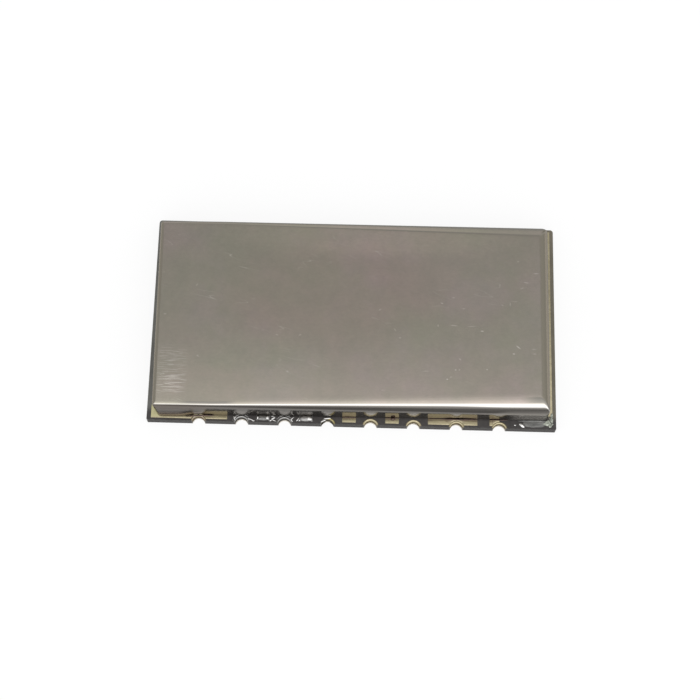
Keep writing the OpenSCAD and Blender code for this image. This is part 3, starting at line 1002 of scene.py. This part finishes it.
def can_metal():
    s = Shader("can_metal", specular_tint=CAN_SPECULAR)
    s.put("Metallic", s.math("SUBTRACT", 1.0, can_wall_film(s)))
    x, along = s.axis("X"), s.axis("Y", s.normal)
    tone = can_bend_tone(s, along)
    # Painted shade that dims the bend's highlight in two places
    shaded_highlight = s.math("MAXIMUM", s.inside(x, *HIGHLIGHT_SHADE_LEFT), s.span(x, *HIGHLIGHT_SHADE_RIGHT))
    tone = s.mix(s.times(shaded_highlight, s.inside(along, *HIGHLIGHT_SHADE_BAND)), tone, HIGHLIGHT_SHADE)
    # Painted highlight on the front bend, weaker towards the left end
    highlight = s.times(s.span(along, *HIGHLIGHT_SLOPE, 1.0, 0.0), s.span(x, *HIGHLIGHT_FROM))
    tone = s.mix(highlight, tone, HIGHLIGHT_TONE)
    # Below the painted highlight, the front wall's painted reflection takes over
    sunk = s.math("ADD", along, s.span(x, *LINE_SINKS))
    wall = s.span(sunk, *FRONT_WALL_SLOPE, 1.0, 0.0)
    s.put("Base Color", s.mix(wall, tone, can_wall_tone(s)))
    s.rough(s.noise(*CAN_GRAIN), *CAN_ROUGHNESS)
    return s.material


# The board's mask, paler on its bare ends some way back from the front edge
MASK_ROUGHNESS = 0.42
MASK_SPECKS = (3500, 3.0, 0.6)
MASK_TONES = ((0.022, 0.0195, 0.019), (0.035, 0.031, 0.03))
PALE_FILM = (900, 3.0, 0.6)
PALE_LEFT = ((0.09, 0.089, 0.08), (0.125, 0.124, 0.112))
PALE_RIGHT = ((0.105, 0.093, 0.066), (0.135, 0.12, 0.088))
PALE_FROM = mm(11.5, 11.75)
PALE_BACK = mm(-6.0, -5.5)
LAMINATE_ROUGHNESS = 0.7
LAMINATE_WEAVE = (9000, 2.0, 0.6)
WEAVE_STRETCH = (1, 1, 6)
LAMINATE_TONES = ((0.022, 0.02, 0.019), (0.038, 0.035, 0.032))


def solder_mask():
    s = Shader("solder_mask", roughness=MASK_ROUGHNESS)
    tone = s.grainy(s.noise(*MASK_SPECKS), *MASK_TONES)
    x, back = s.axis("X"), s.span(s.axis("Y"), *PALE_BACK)
    film = s.noise(*PALE_FILM)
    near, far = PALE_FROM
    left, right = s.span(x, -far, -near, 1.0, 0.0), s.span(x, near, far)
    for end, tones in ((left, PALE_LEFT), (right, PALE_RIGHT)):
        tone = s.mix(s.times(back, end), tone, s.grainy(film, *tones))
    s.put("Base Color", tone)
    return s.material


def laminate_edge():
    s = Shader("laminate_edge", roughness=LAMINATE_ROUGHNESS)
    weave = s.noise(*LAMINATE_WEAVE, s.stretched(WEAVE_STRETCH))
    s.put("Base Color", s.grainy(weave, *LAMINATE_TONES))
    return s.material


# Gold: stains, brown beside the can's foot, and the cleaner end of the corner pad
GOLD_STAIN = (1300, 3.0, 0.6)
GOLD_TONES = ((0.28, 0.245, 0.153), (0.345, 0.305, 0.195))
BROWNED_Y = (mm(-6.12, -5.75), 0.1 * MM)
BROWNED_LEVELS = (0.4, 0.6, 0.15, 0.7)
BROWNED_TONE = (0.22, 0.175, 0.13)
YELLOW_END = mm(-11.5, -11.2)
YELLOW_TONE = (0.46, 0.43, 0.25)
GOLD_GRAIN = 6000
GOLD_ROUGHNESS = (0.1, 0.18)
# Plating down a half hole: heights of its pale foot, a painted reflection of the white floor, and of its rim
HOLE_GRAIN = (6000, 3.0, 0.6)
HOLE_STRETCH = (1, 1, 0.3)
HOLE_SPECULAR = (0.6, 0.55, 0.45, 1)
HOLE_ROUGHNESS = (0.5, 0.65)
PALE_Z = mm(0.1, 0.26)
PALE_TONE = (0.74, 0.71, 0.66)
RIM_Z = mm(0.43, 0.5)
# The ring of tin and gold, and where it changes beside its middle
HALF_TINNED = 4
HALF_STAIN = (4200, 3.0, 0.6)
HALF_TIN = ((0.1, 0.098, 0.093), (0.2, 0.196, 0.188))
HALF_GOLD = ((0.25, 0.215, 0.1), (0.4, 0.35, 0.18))
HALF_CHANGES = mm(-0.1, 0.05)
HALF_ROUGHNESS = (0.15, 0.3)
# Grain of the roughness in thin layers of tin and gold
FINE_GRAIN = 7000


def gold_plating():
    s = Shader("gold_plating", metallic=1.0)
    stain = s.noise(*GOLD_STAIN)
    browned = s.times(s.inside(s.axis("Y"), *BROWNED_Y), s.span(stain, *BROWNED_LEVELS))
    gold = s.mix(browned, s.grainy(stain, *GOLD_TONES), BROWNED_TONE)
    clean = s.span(s.axis("X"), *YELLOW_END, 1.0, 0.0)
    s.put("Base Color", s.mix(clean, gold, YELLOW_TONE))
    s.rough(s.noise(GOLD_GRAIN), *GOLD_ROUGHNESS)
    return s.material


def hole_wall(name, rim, dark, light, pale_reach=None):
    """Plating down a half hole: its own tone at the rim, painted shade in the middle, and a pale painted
    reflection of the floor at the foot.
    """
    s = Shader(name, metallic=1.0, specular_tint=HOLE_SPECULAR)
    drill = s.noise(*HOLE_GRAIN, s.stretched(HOLE_STRETCH))
    height = s.axis("Z")
    # The pale foot, a painted reflection of the white floor
    pale = s.span(height, *PALE_Z, 1.0, 0.0)
    if pale_reach:
        middle, reach = pale_reach
        pale = s.times(pale, s.span(s.away(s.axis("X"), middle), reach / 2, reach, 1.0, 0.0))
    tone = s.mix(pale, s.grainy(drill, dark, light), PALE_TONE)
    s.put("Base Color", s.mix(s.span(height, *RIM_Z), tone, rim))
    s.rough(drill, *HOLE_ROUGHNESS)
    return s.material


def half_tinned():
    """A ring with dull tin on its left half and gold on its right."""
    s = Shader("half_tinned", metallic=1.0)
    stain = s.noise(*HALF_STAIN)
    low, high = (TERMINAL_X[HALF_TINNED - 1] + off for off in HALF_CHANGES)
    share = s.span(s.axis("X"), low, high)
    s.put("Base Color", s.mix(share, s.grainy(stain, *HALF_TIN), s.grainy(stain, *HALF_GOLD)))
    s.rough(stain, *HALF_ROUGHNESS)
    return s.material


def grained(name, dark, light, grain, roughness, metallic=0.0, bumps=None):
    """Two tones in a grain. The roughness is one number, or a range for a fine grain."""
    s = Shader(name, metallic=metallic)
    s.put("Base Color", s.grainy(s.noise(*grain), dark, light))
    if isinstance(roughness, tuple):
        s.rough(s.noise(FINE_GRAIN), *roughness)
    else:
        s.put("Roughness", roughness)
    if bumps:
        scale, height = bumps
        s.put("Normal", s.node("Bump", {"Height": s.noise(scale), "Distance": height}, "Normal"))
    return s.material


# Stage, light and camera

FLOOR_HALF = 3.0
FLOOR_WHITE = (0.8, 0.8, 0.8)
# Share of the floor's own light, to the eye and in metal
FLOOR_OWN = 0.85
FLOOR_OWN_IN_METAL = 0.15
CAMERA_AZIMUTH = radians(0.05)
CAMERA_ELEVATION = radians(70.56)
CAMERA_ROLL = radians(1.415)
CAMERA_DISTANCE = 100.34 * MM
CAMERA_AIM = Vector((-0.19, -1.535, 0)) * MM
CAMERA_LENS = 85.54
CAMERA_SENSOR = 36.0
GLOW_AZIMUTH = radians(8)
GLOW_ELEVATION = radians(30)
GLOW_LEVEL = 1.6
# Levels of the room by height, and of the glow by closeness to its middle and by height
SKY = ((0.0, 0.8), (0.5, 0.87), (0.72, 0.87), (0.86, 0.6), (0.91, 0.62), (0.95, 0.6), (1.0, 0.62))
GLOW = ((0.1, 0.0), (0.17, 0.055), (0.25, 0.11), (0.342, 0.31), (0.5, 0.44), (0.643, 0.6), (0.766, 0.8),
        (0.866, 0.88), (0.951, 0.95), (0.99, 1.0))
GLOW_FOOT = ((0.1, 0.0), (0.35, 1.0))
CLIP_END = 20


def floor_white():
    """White to the eye, less so in metal, and plain matt white to all other light."""
    material = bpy.data.materials.new("floor_white")
    n = Nodes(material)
    rays = n.add("LightPath").outputs
    seen = n.times(rays["Is Camera Ray"], FLOOR_OWN)
    share = n.math("MAXIMUM", seen, n.times(rays["Is Glossy Ray"], FLOOR_OWN_IN_METAL))
    matt = n.node("BsdfDiffuse", {"Color": FLOOR_WHITE}, "BSDF")
    own = n.node("Emission", {"Strength": 1.0}, "Emission")
    mixed = n.node("MixShader", {0: share, 1: matt, 2: own}, "Shader")
    n.link(mixed, n.add("OutputMaterial").inputs["Surface"])
    return material


def towards(azimuth, elevation):
    """Direction at an azimuth counted from the front towards the right."""
    c = cos(elevation)
    return Vector((sin(azimuth) * c, -cos(azimuth) * c, sin(elevation)))


def add_camera():
    data = bpy.data.cameras.new("camera")
    data.sensor_width = CAMERA_SENSOR
    data.lens = CAMERA_LENS
    data.clip_start = MM
    data.clip_end = CLIP_END
    back = towards(CAMERA_AZIMUTH, CAMERA_ELEVATION)
    right = towards(CAMERA_AZIMUTH + QUARTER, 0)
    up = back.cross(right)
    c, s = cos(CAMERA_ROLL), sin(CAMERA_ROLL)
    axes = Matrix((c * right + s * up, c * up - s * right, back)).transposed()
    obj = add_object("camera", data)
    obj.matrix_world = Matrix.Translation(CAMERA_AIM + back * CAMERA_DISTANCE) @ axes.to_4x4()
    bpy.context.scene.camera = obj


def add_floor():
    mesh = bpy.data.meshes.new("floor")
    h = FLOOR_HALF
    mesh.from_pydata([(-h, -h, 0), (h, -h, 0), (h, h, 0), (-h, h, 0)], [], [(0, 1, 2, 3)])
    mesh.materials.append(floor_white())
    floor = add_object("floor", mesh)


def add_world():
    """A soft room with a glow in front, white where the eye looks past the floor."""
    world = bpy.data.worlds.new("room")
    bpy.context.scene.world = world
    n = Nodes(world)
    direction = n.add("TexCoord").outputs["Generated"]
    height = n.axis("Z", direction)
    middle = towards(GLOW_AZIMUTH, GLOW_ELEVATION)
    nearness = n.node("VectorMath", {0: direction, 1: middle}, "Value", operation="DOT_PRODUCT")
    glow = n.times(n.tones(nearness, *GLOW), n.tones(height, *GLOW_FOOT), GLOW_LEVEL)
    light = n.math("ADD", glow, n.tones(height, *SKY))
    seen = n.math("MAXIMUM", light, n.add("LightPath").outputs["Is Camera Ray"])
    background = n.node("Background", {"Color": seen}, "Background")
    n.link(background, n.add("OutputWorld").inputs["Surface"])


# Assembly

# Thin stained layers of tin and gold: noise and roughness
STAIN = (4600, 3.0, 0.6)
POLISHED = (0.14, 0.3)
# Grained materials: dark and light tone, noise, roughness, 1 for metal, scale and height of bumps
GRAINED = {
    "cut_face": ((0.05, 0.042, 0.034), (0.09, 0.078, 0.06), STAIN, POLISHED, 1.0),
    "gold_ring": ((0.37, 0.323, 0.21), (0.47, 0.418, 0.285), STAIN, POLISHED, 1.0),
    "browned_ring": ((0.24, 0.195, 0.16), (0.34, 0.285, 0.245), STAIN, POLISHED, 1.0),
    "dull_tin": ((0.1, 0.098, 0.095), (0.2, 0.197, 0.19), STAIN, (0.32, 0.45), 1.0),
    "bead_tin": ((0.24, 0.236, 0.228), (0.33, 0.325, 0.315), STAIN, (0.28, 0.4), 1.0),
    "mid_tin": ((0.25, 0.247, 0.24), (0.42, 0.415, 0.405), STAIN, POLISHED, 1.0),
    "bright_tin": ((0.5, 0.495, 0.485), (0.75, 0.745, 0.735), STAIN, POLISHED, 1.0),
    "flux_brown": ((0.04, 0.022, 0.016), (0.085, 0.048, 0.036), (5000, 3.0, 0.6), 0.3),
    "flux_film": ((0.085, 0.085, 0.082), (0.155, 0.154, 0.147), (3000, 4.0, 0.6), 0.22, 0.0,
                  (5000, 0.01 * MM)),
    "flux_crust": ((0.16, 0.175, 0.14), (0.42, 0.44, 0.38), (6000, 4.0, 0.6), 0.6, 0.0, (9000, 0.02 * MM)),
    "package": ((0.02, 0.02, 0.021), (0.035, 0.035, 0.036), (9000,), 0.6),
    "base_ceramic": ((0.6, 0.56, 0.49), (0.68, 0.64, 0.56), (6000,), 0.65),
    "lid_metal": ((0.62, 0.6, 0.55), (0.7, 0.68, 0.62), (3000,), 0.25, 1.0),
    "ferrite": ((0.06, 0.06, 0.062), (0.1, 0.1, 0.103), (9000,), 0.7),
    "coil_ceramic": ((0.28, 0.38, 0.48), (0.34, 0.45, 0.56), (8000,), 0.6),
    "chip_ceramic": ((0.3, 0.2, 0.12), (0.37, 0.26, 0.16), (8000,), 0.55),
}
# Hole walls: rim, dark and light tone of the painted shade in the middle, and middle and reach of the choked
# one's pale foot
HOLE_WALLS = {
    "hole_wall": ((0.44, 0.385, 0.255), (0.09, 0.07, 0.045), (0.16, 0.13, 0.08)),
    "tinned_hole_wall": ((0.16, 0.155, 0.15), (0.05, 0.048, 0.046), (0.1, 0.097, 0.094)),
    "choked_hole_wall": ((0.2, 0.18, 0.13), (0.04, 0.037, 0.033), (0.08, 0.073, 0.064),
                         (TERMINAL_X[HALF_TINNED - 1], 0.2 * MM)),
}


def make_all(make, rows):
    return {name: make(name, *row) for name, row in rows.items()}


def build_terminals(gold, look, hole):
    """Both rows, with materials for face, hole, rim and cut ends."""
    half, ring, cut = half_tinned(), look["gold_ring"], look["cut_face"]
    plated = [ring, hole["hole_wall"], ring, cut]
    on_pad = [gold, hole["hole_wall"], ring, cut]
    tinned = [look["dull_tin"], hole["tinned_hole_wall"], look["mid_tin"], cut]
    front = {1: [gold, hole["hole_wall"], look["browned_ring"], cut], 2: tinned, 3: tinned,
             HALF_TINNED: [half, hole["choked_hole_wall"], half, cut], 7: on_pad, 8: on_pad}
    for number in range(1, TERMINALS + 1):
        build_terminal(number, "front", front.get(number, plated))
        build_terminal(number, "back", plated)


def dress_nodes(finishes):
    """Gives each solid that still shows the material of its slot."""
    for row in frame["record"]["subparts"]:
        material = finishes.get(row["material_slot"])
        if material:
            mesh = frame["nodes"][row["node"]].data
            mesh.materials.clear()
            mesh.materials.append(material)


add_camera()
add_floor()
add_world()

gold = gold_plating()
look = make_all(grained, GRAINED)
build_board(solder_mask(), laminate_edge())
build_terminals(gold, look, make_all(hole_wall, HOLE_WALLS))
build_pads([gold, look["gold_ring"]], [look["dull_tin"], look["mid_tin"]])
build_can(can_metal())
build_beads([look["dull_tin"], look["bead_tin"]])
build_splashes(look["bright_tin"])
build_arcs(look["mid_tin"])
build_drops(look["bright_tin"])
build_seams("flux_seams", FOOT_SEAMS, PAD_TOP, look["flux_brown"])
build_seams("flux_fill", FLUX_FILL, BOARD_TOP, look["flux_film"])
build_flux("flux_film", FLUX_FILM, look["flux_film"], RIPPLE["film"])
build_flux("flux_crust", FLUX_CRUST, look["flux_crust"], RIPPLE["crust"])
dress_nodes({**look, "gold": gold, "tin": look["dull_tin"], "solder": look["dull_tin"]})

bpy.context.scene.view_settings.view_transform = "Standard"
